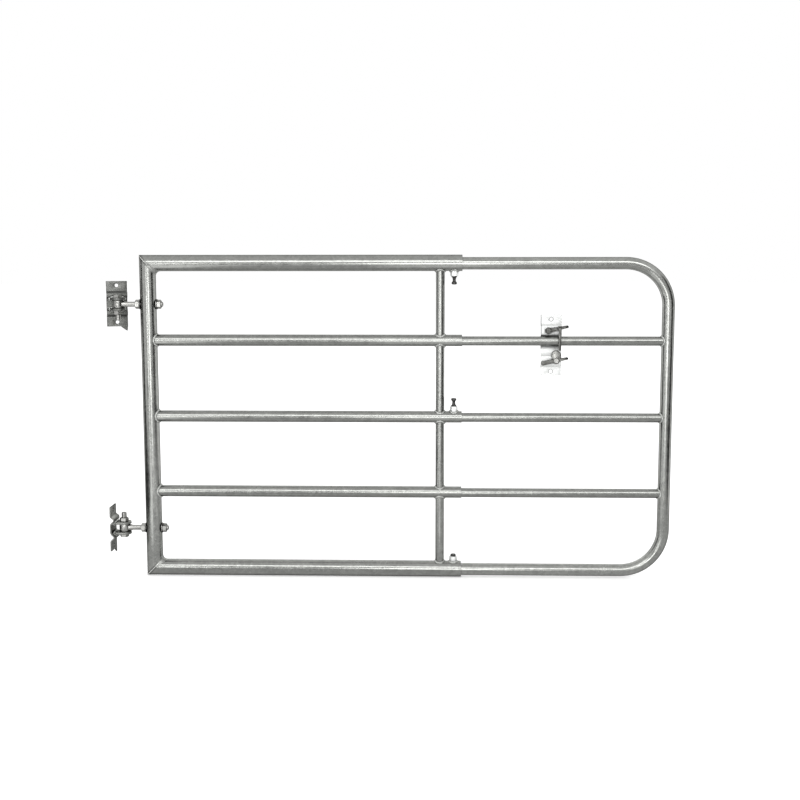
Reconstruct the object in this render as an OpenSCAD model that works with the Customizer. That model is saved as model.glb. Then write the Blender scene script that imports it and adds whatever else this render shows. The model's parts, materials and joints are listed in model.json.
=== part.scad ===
// Extendable tubular field gate: a hinge-side frame of sleeve tubes, an end
// frame that slides in them, two post hinges and a catch clipped on a bar.
// Millimetres. +X runs to the latch end, -Y faces the front, +Z is up.
// The origin is on the back of the lower hinge plate, at its centre.

/* [Leaf] */
// Height of the leaf over its top and bottom tubes
leaf_h = 900; // [700:10:1200]
// Length of the hinge-side frame, from the post's outer face to the sleeve ends
sleeve_frame_l = 888; // [750:1:1300]
// Distance from the sleeve ends to the centre of the end frame's upright tube
reach = 562; // [500:1:680]
// Length of the sliding tubes that is inside the sleeves
engaged_l = 330; // [250:1:450]
// Distance from the sleeve ends back to the centre of the upright
upright_inset = 60; // [50:1:120]
// Centreline radius of the end frame's bends
bend_r = 117; // [80:1:140]
// Distance between the centre lines of the two lowest tubes
bottom_bay = 219; // [170:1:280]

/* [Tubes] */
// Outer diameter of the post and of the top and bottom sleeves
frame_od = 44.5; // [42:0.5:55]
// Wall of the post and of the top and bottom sleeves
frame_wall = 2.6; // [2:0.1:3.2]
// Outer diameter of the three sleeve bars
sleeve_od = 31.8; // [30:0.1:40]
// Wall of the three sleeve bars
sleeve_wall = 1.6; // [1.2:0.1:2]
// Radial gap between the bent end frame and the sleeves it slides in
rail_play = 2.8; // [1.6:0.1:4]
// Wall of the bent end frame
end_wall = 2.6; // [1.5:0.1:3.2]
// Radial gap between the slide bars and the sleeve bars
bar_play = 1.6; // [1:0.1:3]
// Wall of the three slide bars
bar_wall = 1.6; // [1.2:0.1:2.6]
// Outer diameter of the upright between the sleeves
upright_od = 24; // [20:0.1:30]
// Wall of the upright between the sleeves
upright_wall = 1.6; // [1.2:0.1:2.6]

/* [Lock screws] */
// Distance from the sleeve ends back to the lock screws
lock_inset = 22; // [16:1:40]
// Diameter of the lock screws
lock_d = 10; // [8:1:12]
// Width across flats of the lock screw heads
lock_head_af = 16; // [13:1:19]
// Height of the lock screw heads
lock_head_h = 7; // [5:0.5:9]
// Width across flats of the welded bosses
boss_af = 19; // [16:1:24]
// Height of the welded bosses above their tube
boss_h = 14; // [10:1:20]
// Gap between a boss and the head of the top and middle screws
lock_stand_out = 16; // [0:1:25]

/* [Hinges] */
// Distance from the rails' centre lines to the hinge eyebolts
hinge_inset = 113; // [90:1:200]
// Distance from the post face to the hinge pin
pin_standoff = 34; // [30:1:50]
// Distance from the hinge pin to the centre of the gate's post
pin_to_post = 85; // [80:1:120]
// Diameter of the hinge bolts and eyebolts
bolt_d = 14; // [12:1:16]
// Width across flats of the hinge nuts and bolt heads
nut_af = 22; // [19:1:24]
// Thickness of the hinge nuts
nut_h = 11; // [9:0.5:13]
// Height of the hinge bolt heads
head_h = 9; // [7:0.5:10]
// Outer diameter of the eyes
eye_d = 28; // [26:1:34]
// Height of the eyes
eye_h = 22.4; // [18:0.2:30]
// Thickness of the ears that hold the hinge bolts
ear_t = 6; // [4:0.5:8]
// Width of the ears
ear_w = 40; // [34:1:50]
// Outer diameter of the eyebolt washers
washer_d = 28; // [26:1:34]
// Thickness of the eyebolt washers
washer_t = 2.5; // [2:0.5:4]
// Thread that stands out past the eyebolts' outer nuts
eyebolt_end = 5; // [2:1:15]
// Thread that stands out past the hinge nuts
pin_end = 15; // [4:1:20]
// Turn of the loose upper hinge plate about its bolt, in degrees
upper_plate_turn = -71; // [-90:1:0]

/* [Plates] */
// Thickness of the hinge and catch plates
plate_t = 4; // [3:0.5:5]
// Width of the hinge and catch plates
plate_w = 57; // [50:1:70]
// Height of the hinge plates
hinge_plate_h = 126; // [110:1:160]
// Height of the catch plate
catch_plate_h = 168; // [146:1:200]
// Length of the flat shoulders beside a hinge plate's trough
hinge_shoulder_l = 2; // [0:0.5:6]
// Length of the flat shoulders beside the catch plate's trough
catch_shoulder_l = 17; // [17:0.5:20]
// How far the shoulders of a plate are raised off the post
plate_raise = 9; // [8:0.5:10]
// Diameter of the screw holes in the wings
screw_hole_d = 10; // [8:0.5:12]
// Distance of the screw holes from the ends of a plate
screw_hole_inset = 12; // [8:1:18]
// Length of the pointed spur on a hinge plate's lower corner
spur_l = 13; // [8:1:18]

/* [Catch] */
// Distance from the end frame's upright tube back to the catch
catch_setback = 317; // [280:1:360]
// Drop of the catch plate's centre below the bar that it hangs on
catch_drop = 13; // [8:1:16]
// Thickness of the pawls
pawl_t = 5; // [4:0.5:6]
// Diameter of the pawl hubs
hub_d = 18; // [16:1:20]
// Diameter of the lower pawl's nose
nose_d = 26; // [20:1:28]
// Distance of the upper pawl's pivot to the left of the plate's centre
upper_pivot_x = 8; // [4:1:12]
// Length of the upper pawl's lever on the left of its pivot
upper_heel_l = 4; // [3:0.5:5]
// Distance of the lower pawl's pivot to the right of the plate's centre
lower_pivot_x = 14; // [10:1:18]
// Rise of the pawls' levers to the right, in degrees
pawl_tilt = 12; // [0:1:20]
// Depth of a pawl's lever where it is deepest
lever_d = 12; // [8:1:14]
// Distance of the pawls' thumb ends to the right of the plate's centre
thumb_x = 43; // [36:1:50]
// Diameter of the pawls' thumb ends
thumb_d = 7; // [5:0.5:10]
// Diameter of the pawl bolts
pawl_bolt_d = 8; // [6:1:8]
// Width across flats of the pawl bolts' heads and nuts
pawl_nut_af = 13; // [10:1:13]
// Distance of the upper pawl's strap to the right of the plate's centre
strap_x = 22; // [18:1:26]
// Width of the strap that hangs from the upper pawl in front of the bar
strap_w = 7; // [5:1:10]
// Thickness of that strap
strap_t = 3; // [2:0.5:4]

/* [Fits] */
// Gap left under a sliding tube, and wherever moving pieces seat on each other
rest_gap = 0.3; // [0.2:0.05:0.5]
// Radial clearance of the hinge bolts in the eyes and of bolts in their holes
bolt_clearance = 0.5; // [0.3:0.05:0.8]
// Gap between the catch's strap and the bar behind it
strap_gap = 1.5; // [1:0.5:3]

/* [Hidden] */
$fn = 64;
eps = 0.5;
galvanised = [0.62, 0.63, 0.62];
bright_zinc = [0.80, 0.81, 0.80];
dark_steel = [0.30, 0.30, 0.30];

// Heights of the five tubes, bottom to top, and of the two hinges
rail_span = leaf_h - frame_od;
upper_bay = (rail_span - bottom_bay) / 3;
function tube_z(i) = -hinge_inset + (i == 0 ? 0 : bottom_bay + (i - 1) * upper_bay);
upper_hinge_z = rail_span - 2 * hinge_inset;

// Stations along the leaf
post_x = pin_standoff + pin_to_post;
sleeve_end_x = post_x - frame_od / 2 + sleeve_frame_l;
upright_x = sleeve_end_x - upright_inset;
lock_x = sleeve_end_x - lock_inset;
end_x = sleeve_end_x + reach;
slide_start_x = sleeve_end_x - engaged_l;

// Sliding tubes; the loose end frame drops until one nearly rests in its sleeve
end_od = frame_od - 2 * (frame_wall + rail_play);
bar_od = sleeve_od - 2 * (sleeve_wall + bar_play);
sag = min(rail_play, bar_play) - rest_gap;

// Hinge hardware
ear_gap = eye_h + 2 * rest_gap;
clevis_h = ear_gap + 2 * ear_t;
post_r = frame_od / 2;

// Bent plates: a trough between two shoulders, then slopes down to the wings
bend_in_r = 5;
slope_a = 55;
hinge_trough_a = 60;
catch_trough_a = 40;
trough_flat = 16;
slope_l = (plate_raise - 2 * bend_in_r * (1 - cos(slope_a))) / sin(slope_a);
slope_z = 2 * bend_in_r * sin(slope_a) + slope_l * cos(slope_a);
shoulder_front = plate_raise + plate_t;
// Radius of a trough's two round sides whose walls climb through the angle a
function trough_r(a) = plate_raise / (1 - cos(a)) - bend_in_r;
// Height of a trough above its middle, up to the start of the flat shoulder
function trough_z(a) = trough_flat / 2 + plate_raise / tan(a / 2);

// Catch: where the bar lies in the trough, and the post face behind it
bar_z = tube_z(3) - sag;
seat_r = trough_r(catch_trough_a) - plate_t / 2;
seat_reach = seat_r - rest_gap - bar_od / 2;
bar_depth = plate_t + seat_r - sqrt(pow(seat_reach, 2) - pow(catch_drop - trough_flat / 2, 2));
catch_x = end_x - catch_setback;
catch_z = bar_z - catch_drop;
strap_front = bar_depth + bar_od / 2 + strap_gap + strap_t;
pawl_back = shoulder_front + rest_gap;
pawl_front = pawl_back + pawl_t;
pawl_nut_h = pawl_bolt_d * 0.8;
pawl_head_h = pawl_bolt_d * 0.65;
thumb_raise = 3;
// The pawls pivot on the middle of the catch plate's flat shoulders
pivot_z = trough_z(catch_trough_a) + catch_shoulder_l / 2;

// ---- Shared shapes ----

// Tube along +Z from z0 to z1
module tube(od, wall, z0, z1) {
    translate([0, 0, z0]) difference() {
        cylinder(h = z1 - z0, d = od);
        translate([0, 0, -eps]) cylinder(h = z1 - z0 + 2 * eps, d = od - 2 * wall);
    }
}

// Stands what lies along +Z along +X instead
module along_x() { rotate([0, 90, 0]) children(); }

// Hexagonal prism along +Z with the corners of its outer end turned off
module hex_block(af, h) {
    corner_d = af / cos(30);
    chamfer = (corner_d - af) * 0.45;
    intersection() {
        cylinder(h = h, d = corner_d, $fn = 6);
        union() {
            cylinder(h = h - chamfer, d = corner_d + eps);
            translate([0, 0, h - chamfer]) cylinder(h = chamfer, d1 = corner_d, d2 = af * 0.97);
        }
    }
}

module hex_nut(af, h, bolt) {
    difference() {
        hex_block(af, h);
        translate([0, 0, -eps]) cylinder(h = h + 2 * eps, d = bolt + 0.2);
    }
}

// Bolt along -Z whose head stands on z = 0
module hex_bolt(af, head, d, shank) {
    chamfer = d * 0.12;
    hex_block(af, head);
    translate([0, 0, chamfer - shank]) cylinder(h = shank - chamfer + eps, d = d);
    translate([0, 0, -shank]) cylinder(h = chamfer, d1 = d - 2 * chamfer, d2 = d);
}

// ---- Leaf, hinge side ----

module post_bore(z) {
    translate([post_x - frame_od, 0, z]) along_x()
        cylinder(h = 2 * frame_od, d = bolt_d + 2 * bolt_clearance);
}

module hinge_post() {
    color(galvanised) difference() {
        translate([post_x, 0, 0]) tube(frame_od, frame_wall, tube_z(0) - post_r, tube_z(4) + post_r);
        corner_wedge(tube_z(4), 1, true);
        corner_wedge(tube_z(0), -1, true);
        post_bore(0);
        post_bore(upper_hinge_z);
    }
}

// Triangular prism that takes the waste off one side of a mitred corner
module corner_wedge(z, up, for_post) {
    s = frame_od;
    waste = for_post
        ? [[-s, s], [s, -s], [s, s]]
        : [[-s, s], [s, -s], [-s, -s]];
    translate([post_x, 0, z]) rotate([90, 0, 0])
        linear_extrude(height = 2 * s, center = true)
            polygon([for (p = waste) [p[0], up * p[1]]]);
}

// Horizontal frame sleeve, mitred to the post; lock_side is where its screw enters
module frame_sleeve(z, up, lock_side) {
    color(galvanised) difference() {
        translate([0, 0, z]) along_x() tube(frame_od, frame_wall, post_x - post_r, sleeve_end_x);
        corner_wedge(z, up, false);
        lock_bore(z, lock_side);
    }
}

module top_sleeve() { frame_sleeve(tube_z(4), 1, -1); }
module bottom_sleeve() { frame_sleeve(tube_z(0), -1, 1); }

// Hole that passes a lock screw into the tube at height z
module lock_bore(z, side) {
    translate([lock_x, 0, z]) rotate([side > 0 ? 0 : 180, 0, 0])
        cylinder(h = frame_od, d = lock_d + 2 * rest_gap);
}

module sleeve_bar(i) {
    color(galvanised) difference() {
        translate([0, 0, tube_z(i)]) along_x() tube(sleeve_od, sleeve_wall, post_x, sleeve_end_x);
        translate([post_x, 0, tube_z(i) - frame_od]) cylinder(h = 2 * frame_od, d = frame_od);
        if (i == 2) lock_bore(tube_z(i), 1);
    }
}

module upper_sleeve_bar() { sleeve_bar(3); }
module middle_sleeve_bar() { sleeve_bar(2); }
module lower_sleeve_bar() { sleeve_bar(1); }

// Outer diameter of the tube at level i of the hinge-side frame
function level_od(i) = i == 0 || i == 4 ? frame_od : sleeve_od;

// Piece of the upright between level i and the one above, coped to both
module upright(i) {
    color(galvanised) difference() {
        translate([upright_x, 0, 0]) tube(upright_od, upright_wall, tube_z(i), tube_z(i + 1));
        for (k = [i, i + 1])
            translate([upright_x - frame_od, 0, tube_z(k)]) along_x()
                cylinder(h = 2 * frame_od, d = level_od(k));
    }
}

module upright_1() { upright(3); }
module upright_2() { upright(2); }
module upright_3() { upright(1); }
module upright_4() { upright(0); }

// ---- Lock screws ----

// Puts a screw, drawn along +Z from its tube's axis, on level i
module on_level(i, side) {
    translate([lock_x, 0, tube_z(i)]) rotate([side > 0 ? 0 : 180, 0, 0]) children();
}

module lock_boss(i, side) {
    r = level_od(i) / 2;
    color(galvanised) on_level(i, side) difference() {
        hex_block(boss_af, r + boss_h);
        translate([-frame_od, 0, 0]) along_x() cylinder(h = 2 * frame_od, d = 2 * r);
        cylinder(h = r + boss_h + eps, d = lock_d + 0.2);
    }
}

// Screw whose tip nearly touches the sliding tube; stand_out is the bare shank
// between the boss and the head
module lock_screw(i, side, stand_out) {
    r = level_od(i) / 2;
    inner_r = (i == 0 || i == 4 ? end_od : bar_od) / 2;
    tip = inner_r - side * sag + rest_gap;
    under_head = r + boss_h + stand_out;
    color(dark_steel) on_level(i, side)
        translate([0, 0, under_head]) hex_bolt(lock_head_af, lock_head_h, lock_d, under_head - tip);
}

module top_lock_boss() { lock_boss(4, -1); }
module middle_lock_boss() { lock_boss(2, 1); }
module bottom_lock_boss() { lock_boss(0, 1); }
module top_lock_screw() { lock_screw(4, -1, lock_stand_out); }
module middle_lock_screw() { lock_screw(2, 1, lock_stand_out); }
module bottom_lock_screw() { lock_screw(0, 1, 0); }

// ---- End frame ----

end_top_z = tube_z(4) - sag;
end_bottom_z = tube_z(0) - sag;
bend_x = end_x - bend_r;

// Quarter bend between a leg and the upright tube; up is 1 at the top
module end_bend(z, up, d) {
    translate([bend_x, 0, z - up * bend_r]) rotate([90, 0, 0])
        rotate([0, 0, up > 0 ? 0 : -90]) rotate_extrude(angle = 90)
            translate([bend_r, 0]) circle(d = d);
}

// The whole bent rod, to be drawn once full and once as its hollow
module end_path(d, extra) {
    for (z = [end_bottom_z, end_top_z])
        translate([slide_start_x - extra, 0, z]) along_x()
            cylinder(h = bend_x - slide_start_x + extra, d = d);
    end_bend(end_top_z, 1, d);
    end_bend(end_bottom_z, -1, d);
    translate([end_x, 0, end_bottom_z + bend_r])
        cylinder(h = end_top_z - end_bottom_z - 2 * bend_r, d = d);
}

module end_frame() {
    color(galvanised) difference() {
        end_path(end_od, 0);
        end_path(end_od - 2 * end_wall, eps);
    }
}

module slide_bar(i) {
    z = tube_z(i) - sag;
    color(galvanised) difference() {
        translate([0, 0, z]) along_x() tube(bar_od, bar_wall, slide_start_x, end_x);
        translate([end_x, 0, z - end_od]) cylinder(h = 2 * end_od, d = end_od);
    }
}

module upper_slide_bar() { slide_bar(3); }
module middle_slide_bar() { slide_bar(2); }
module lower_slide_bar() { slide_bar(1); }

// ---- Hinges ----

module eyebolt(z) {
    neck_start = eye_d / 2 - 2;
    neck_end = eye_d / 2 + 12;
    neck_r = eye_h / 2 - 1;
    tail = post_x + post_r + washer_t + nut_h + eyebolt_end - pin_standoff;
    chamfer = bolt_d * 0.12;
    color(bright_zinc) translate([pin_standoff, 0, z]) difference() {
        union() {
            translate([0, 0, -eye_h / 2]) cylinder(h = eye_h, d = eye_d);
            translate([neck_start, 0, 0]) along_x()
                cylinder(h = neck_end - neck_start, r1 = neck_r, r2 = bolt_d / 2);
            along_x() cylinder(h = tail - chamfer, d = bolt_d);
            translate([tail - chamfer, 0, 0]) along_x()
                cylinder(h = chamfer, d1 = bolt_d, d2 = bolt_d - 2 * chamfer);
        }
        translate([0, 0, -eye_h]) cylinder(h = 2 * eye_h, d = bolt_d + 2 * bolt_clearance);
    }
}

module upper_eyebolt() { eyebolt(upper_hinge_z); }
module lower_eyebolt() { eyebolt(0); }

// Washer on the hinge side (-1) or the leaf side (1) of the post, and its nut
module post_washer(z, side) {
    color(bright_zinc) translate([post_x + side * post_r, 0, z]) rotate([0, side * 90, 0])
        tube(washer_d, (washer_d - bolt_d) / 2 - 0.1, 0, washer_t);
}

module post_nut(z, side) {
    color(bright_zinc) translate([post_x + side * (post_r + washer_t), 0, z])
        rotate([0, side * 90, 0]) hex_nut(nut_af, nut_h, bolt_d);
}

module upper_inner_washer() { post_washer(upper_hinge_z, -1); }
module upper_inner_nut() { post_nut(upper_hinge_z, -1); }
module upper_outer_washer() { post_washer(upper_hinge_z, 1); }
module upper_outer_nut() { post_nut(upper_hinge_z, 1); }
module lower_inner_washer() { post_washer(0, -1); }
module lower_inner_nut() { post_nut(0, -1); }
module lower_outer_washer() { post_washer(0, 1); }
module lower_outer_nut() { post_nut(0, 1); }

// A bend of radius r through angle a, as short [length, turn] steps
function bend(r, a, n = 6) = [for (i = [1:n]) [2 * r * sin(abs(a) / n / 2), a / n]];

// Corners and headings met on a walk of [length, turn] steps
function walk(steps, start, heading) = [
    for (i = 0, p = start, a = heading; i <= len(steps);
         p = i < len(steps)
             ? p + steps[i][0] * [cos(a + steps[i][1] / 2), sin(a + steps[i][1] / 2)] : p,
         a = i < len(steps) ? a + steps[i][1] : a,
         i = i + 1) [p, a]];

// Outline of a bent plate of height h whose trough climbs through the angle
// ta to shoulders of length shoulder_l, in depth off the post and height
module plate_profile(h, ta, shoulder_l) {
    wing_l = h / 2 - shoulder_l - slope_z - trough_z(ta);
    steps = concat(
        [[wing_l, 0]], bend(bend_in_r, slope_a), [[slope_l, 0]], bend(bend_in_r, -slope_a),
        [[shoulder_l, 0]], bend(bend_in_r, -ta), bend(trough_r(ta), ta, 12),
        [[trough_flat, 0]],
        bend(trough_r(ta), ta, 12), bend(bend_in_r, -ta), [[shoulder_l, 0]],
        bend(bend_in_r, -slope_a), [[slope_l, 0]], bend(bend_in_r, slope_a), [[wing_l, 0]]);
    mid = walk(steps, [plate_t / 2, h / 2], -90);
    function side(k) = [for (m = mid) m[0] + k * plate_t / 2 * [-sin(m[1]), cos(m[1])]];
    back = side(-1);
    polygon(concat(side(1), [for (i = [len(back) - 1:-1:0]) back[i]]));
}

// Bent plate with its back on x = 0 and its width along Y
module bent_plate(h, ta, shoulder_l) {
    difference() {
        rotate([90, 0, 0]) linear_extrude(height = plate_w, center = true)
            plate_profile(h, ta, shoulder_l);
        for (s = [-1, 1])
            translate([-eps, 0, s * (h / 2 - screw_hole_inset)]) along_x()
                cylinder(h = plate_t + 2 * eps, d = screw_hole_d);
    }
}

// Pointed spur on the lower corner of a hinge plate
module spur(h) {
    translate([0, plate_w / 2, -h / 2]) rotate([90, 0, 90])
        linear_extrude(height = plate_t)
            polygon([[-20, eps], [-20, 0], [-10, -spur_l * 0.6], [-2, -spur_l], [0, 0], [0, eps]]);
}

module hinge_plate() {
    color(galvanised) union() {
        bent_plate(hinge_plate_h, hinge_trough_a, hinge_shoulder_l);
        spur(hinge_plate_h);
    }
}

// Two ears welded into the plate's trough, shaped to it
module hinge_ears() {
    mid_r = trough_r(hinge_trough_a);
    axis_x = plate_t / 2 + mid_r;
    color(galvanised) difference() {
        for (s = [0, 1]) mirror([0, 0, s]) intersection() {
            translate([0, 0, ear_gap / 2]) linear_extrude(height = ear_t) ear_outline();
            union() {
                translate([axis_x, 0, trough_flat / 2]) rotate([90, 0, 0])
                    cylinder(h = plate_w, r = mid_r, center = true);
                translate([axis_x, -plate_w / 2, 0])
                    cube([2 * pin_standoff, plate_w, clevis_h]);
            }
        }
        bent_plate(hinge_plate_h, hinge_trough_a, hinge_shoulder_l);
    }
}

module ear_outline() {
    difference() {
        union() {
            translate([0, -ear_w / 2]) square([pin_standoff, ear_w]);
            translate([pin_standoff, 0]) circle(d = ear_w);
        }
        translate([pin_standoff, 0]) circle(d = bolt_d + bolt_clearance);
    }
}

// Hinge bolt through the ears, its head on top when up is 1
module hinge_bolt(up) {
    color(bright_zinc) translate([pin_standoff, 0, 0]) rotate([up > 0 ? 0 : 180, 0, 0])
        translate([0, 0, clevis_h / 2])
            hex_bolt(nut_af, head_h, bolt_d, clevis_h + nut_h + pin_end);
}

module hinge_nut(up) {
    color(bright_zinc) translate([pin_standoff, 0, 0]) rotate([up > 0 ? 180 : 0, 0, 0])
        translate([0, 0, clevis_h / 2]) hex_nut(nut_af, nut_h, bolt_d);
}

// Puts hinge hardware, drawn at the origin, on the turned upper hinge
module at_upper_hinge() {
    translate([pin_standoff, 0, upper_hinge_z]) rotate([0, 0, upper_plate_turn])
        translate([-pin_standoff, 0, 0]) children();
}

module upper_hinge_plate() { at_upper_hinge() hinge_plate(); }
module upper_hinge_ears() { at_upper_hinge() hinge_ears(); }
module upper_hinge_bolt() { at_upper_hinge() hinge_bolt(1); }
module upper_hinge_nut() { at_upper_hinge() hinge_nut(1); }
module lower_hinge_plate() { hinge_plate(); }
module lower_hinge_ears() { hinge_ears(); }
module lower_hinge_bolt() { hinge_bolt(-1); }
module lower_hinge_nut() { hinge_nut(-1); }

// ---- Catch ----

// Turns catch pieces, drawn with their depth off the post along +X and their
// width along +Y, to face the front behind the upper slide bar
module at_catch() {
    translate([catch_x, bar_depth, catch_z]) rotate([0, 0, -90]) children();
}

// Puts what is drawn around a pawl's pivot on the upper (1) or lower (-1) one
module at_pivot(s) {
    translate([0, s > 0 ? -upper_pivot_x : lower_pivot_x, s * pivot_z]) children();
}

module catch_plate() {
    color(bright_zinc) at_catch() difference() {
        bent_plate(catch_plate_h, catch_trough_a, catch_shoulder_l);
        for (s = [-1, 1])
            at_pivot(s) along_x()
                cylinder(h = 2 * shoulder_front, d = pawl_bolt_d + bolt_clearance);
    }
}

// Lever from heel on the left of its pivot, tapering to its thumb end at length l
module lever_outline(heel, l) {
    polygon([[-heel, -lever_d / 2], [l, -thumb_d / 2], [l, thumb_d / 2], [-heel, lever_d / 2]]);
    translate([-heel, 0]) circle(d = lever_d);
    translate([l, 0]) circle(d = thumb_d);
}

// Pawl around its pivot: its outline is the lever, the hub and what is added,
// and the raised round pieces stand on the lever at the lengths l and rivets
module pawl(heel, l, rivets = []) {
    color(dark_steel) translate([pawl_back, 0, 0]) rotate([90, 0, 90]) {
        linear_extrude(height = pawl_t) difference() {
            union() {
                rotate(pawl_tilt) lever_outline(heel, l);
                circle(d = hub_d);
                children();
            }
            circle(d = pawl_bolt_d + bolt_clearance);
        }
        rotate(pawl_tilt) {
            raised_end(l, thumb_d);
            for (at = rivets) raised_end(at, pawl_nut_af);
        }
    }
}

// Round piece that stands out from the middle of a lever's thickness
module raised_end(at, d) {
    translate([at, 0, pawl_t / 2]) cylinder(h = pawl_t / 2 + thumb_raise, d = d);
}

// Strap that comes forward from the upper pawl's lever, its root at the width
// y and height z off the pivot, and hangs down before the bar
module strap(y, z) {
    root = pawl_back + pawl_t / 2;
    tip = catch_drop - bar_od - pivot_z;
    color(dark_steel) translate([0, y - strap_w / 2, 0]) {
        translate([root, 0, z - strap_t / 2]) cube([strap_front - root, strap_w, strap_t]);
        translate([strap_front - strap_t, 0, tip]) cube([strap_t, strap_w, z + strap_t / 2 - tip]);
    }
}

module upper_pawl() {
    at = strap_x + upper_pivot_x;
    at_catch() at_pivot(1) {
        pawl(upper_heel_l, (thumb_x + upper_pivot_x) / cos(pawl_tilt), [at / cos(pawl_tilt)]);
        strap(at, at * tan(pawl_tilt));
    }
}

module lower_pawl() {
    heel = plate_w / 2 - lever_d / 2 + lower_pivot_x;
    at_catch() at_pivot(-1)
        pawl(heel, (thumb_x - lower_pivot_x) / cos(pawl_tilt))
            translate([0, pivot_z - catch_drop - nose_d / 2]) circle(d = nose_d);
}

// Bolt through the pawl's hub and the plate's shoulder
module pawl_bolt(s) {
    color(dark_steel) at_catch() at_pivot(s)
        translate([pawl_front + rest_gap, 0, 0]) along_x()
            hex_bolt(pawl_nut_af, pawl_head_h, pawl_bolt_d,
                     pawl_front + rest_gap - plate_raise + pawl_nut_h);
}

module pawl_nut(s) {
    color(dark_steel) at_catch() at_pivot(s)
        translate([plate_raise, 0, 0]) rotate([0, -90, 0]) rotate([0, 0, 30])
            hex_nut(pawl_nut_af, pawl_nut_h, pawl_bolt_d);
}

module upper_pawl_bolt() { pawl_bolt(1); }
module upper_pawl_nut() { pawl_nut(1); }
module lower_pawl_bolt() { pawl_bolt(-1); }
module lower_pawl_nut() { pawl_nut(-1); }

// ---- Nodes ----

hinge_post();
top_sleeve();
bottom_sleeve();
upper_sleeve_bar();
middle_sleeve_bar();
lower_sleeve_bar();
upright_1();
upright_2();
upright_3();
upright_4();
top_lock_boss();
middle_lock_boss();
bottom_lock_boss();
top_lock_screw();
middle_lock_screw();
bottom_lock_screw();
end_frame();
upper_slide_bar();
middle_slide_bar();
lower_slide_bar();
upper_eyebolt();
upper_inner_washer();
upper_inner_nut();
upper_outer_washer();
upper_outer_nut();
lower_eyebolt();
lower_inner_washer();
lower_inner_nut();
lower_outer_washer();
lower_outer_nut();
upper_hinge_plate();
upper_hinge_ears();
upper_hinge_bolt();
upper_hinge_nut();
lower_hinge_plate();
lower_hinge_ears();
lower_hinge_bolt();
lower_hinge_nut();
catch_plate();
upper_pawl();
upper_pawl_bolt();
upper_pawl_nut();
lower_pawl();
lower_pawl_bolt();
lower_pawl_nut();
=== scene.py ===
import json
import math
from collections import namedtuple

import bmesh
import bpy
from bpy.props import FloatProperty, FloatVectorProperty, IntProperty, PointerProperty
from mathutils import Matrix, Vector, noise


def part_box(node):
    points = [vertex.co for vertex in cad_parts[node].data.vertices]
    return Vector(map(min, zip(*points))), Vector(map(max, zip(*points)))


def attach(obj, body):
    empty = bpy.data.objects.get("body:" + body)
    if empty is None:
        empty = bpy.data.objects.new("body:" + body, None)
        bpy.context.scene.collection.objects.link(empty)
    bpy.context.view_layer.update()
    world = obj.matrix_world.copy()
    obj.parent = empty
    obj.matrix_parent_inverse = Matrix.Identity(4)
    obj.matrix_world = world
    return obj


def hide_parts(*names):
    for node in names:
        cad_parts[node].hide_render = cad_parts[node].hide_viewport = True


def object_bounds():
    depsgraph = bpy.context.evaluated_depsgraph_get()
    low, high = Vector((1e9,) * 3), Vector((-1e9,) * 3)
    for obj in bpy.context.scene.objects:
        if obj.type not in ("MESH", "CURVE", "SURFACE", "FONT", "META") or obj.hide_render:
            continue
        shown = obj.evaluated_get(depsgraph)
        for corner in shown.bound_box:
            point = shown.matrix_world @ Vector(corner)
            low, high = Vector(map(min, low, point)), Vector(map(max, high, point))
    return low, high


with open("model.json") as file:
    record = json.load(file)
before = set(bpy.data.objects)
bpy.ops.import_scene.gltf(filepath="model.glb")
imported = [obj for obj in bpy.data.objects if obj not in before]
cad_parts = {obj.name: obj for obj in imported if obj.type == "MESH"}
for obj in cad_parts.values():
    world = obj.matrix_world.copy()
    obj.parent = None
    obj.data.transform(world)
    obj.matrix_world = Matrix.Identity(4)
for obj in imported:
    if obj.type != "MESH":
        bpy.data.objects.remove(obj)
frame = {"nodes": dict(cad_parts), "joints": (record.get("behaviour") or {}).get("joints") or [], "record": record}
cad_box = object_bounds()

bl_info = {
    "name": "Extendable field gate finishes",
    "version": (1, 0, 0),
    "blender": (4, 5, 0),
    "location": "3D View > Sidebar > Gate",
    "description": "Zinc finishes, welds, threads and softened steel edges for the field gate",
    "category": "Object",
}

RECORD = frame["record"]
NODES = frame["nodes"]
BODY_OF = {n: body for body, names in RECORD["behaviour"]["bodies"].items() for n in names}

RAILS = ("top_sleeve", "bottom_sleeve", "upper_sleeve_bar", "middle_sleeve_bar", "lower_sleeve_bar",
         "upper_slide_bar", "middle_slide_bar", "lower_slide_bar")
STANDING_TUBES = ("hinge_post", "upright_1", "upright_2", "upright_3", "upright_4")
LEVELS = ("bottom_sleeve", "lower_sleeve_bar", "middle_sleeve_bar", "upper_sleeve_bar", "top_sleeve")
BARS = ("lower", "middle", "upper")
PAIR = ("upper", "lower")
# The rail at each mitred corner, and whether the corner points up or down
CORNERS = (("top_sleeve", 1), ("bottom_sleeve", -1))
# Each lock screw's level, the tube it holds, and whether it stands above or below it
LOCKS = (("top", "top_sleeve", -1), ("middle", "middle_sleeve_bar", 1), ("bottom", "bottom_sleeve", 1))

FACE_SHARE = 0.465  # radius of a hexagon's chamfered face over its width across flats
CHAMFER_SLOPE = math.tan(math.pi / 6)  # fall of that chamfer towards the corners
BREAK = 0.0006  # broken edges of bores and heads, in metres
BOLT_TIP = 0.0012  # chamfer at a bolt's end
THREAD_START = 0.001  # how far inside its nut a thread starts
PAWL_BOLT_PITCH = 0.00125

FILM_TINT = (0.62, 0.60, 0.54)  # what the dull film leaves of the zinc's colour
# lightness of the painted shade in crevices, over the finish's own colour
CREVICE_SHADE_TINT = 0.12
TIP_BLACK = (0.012, 0.012, 0.012)
RELIEF = 0.0006  # depth of the surface relief at full strength, in metres

CAMERA_PLACE = (0.9163, -3.2983, 0.7768)
CAMERA_TURN = (1.777, 7.116, -0.065)  # yaw, pitch down and roll, in degrees


# ---- Sizes and colours that a user would change ----

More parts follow.
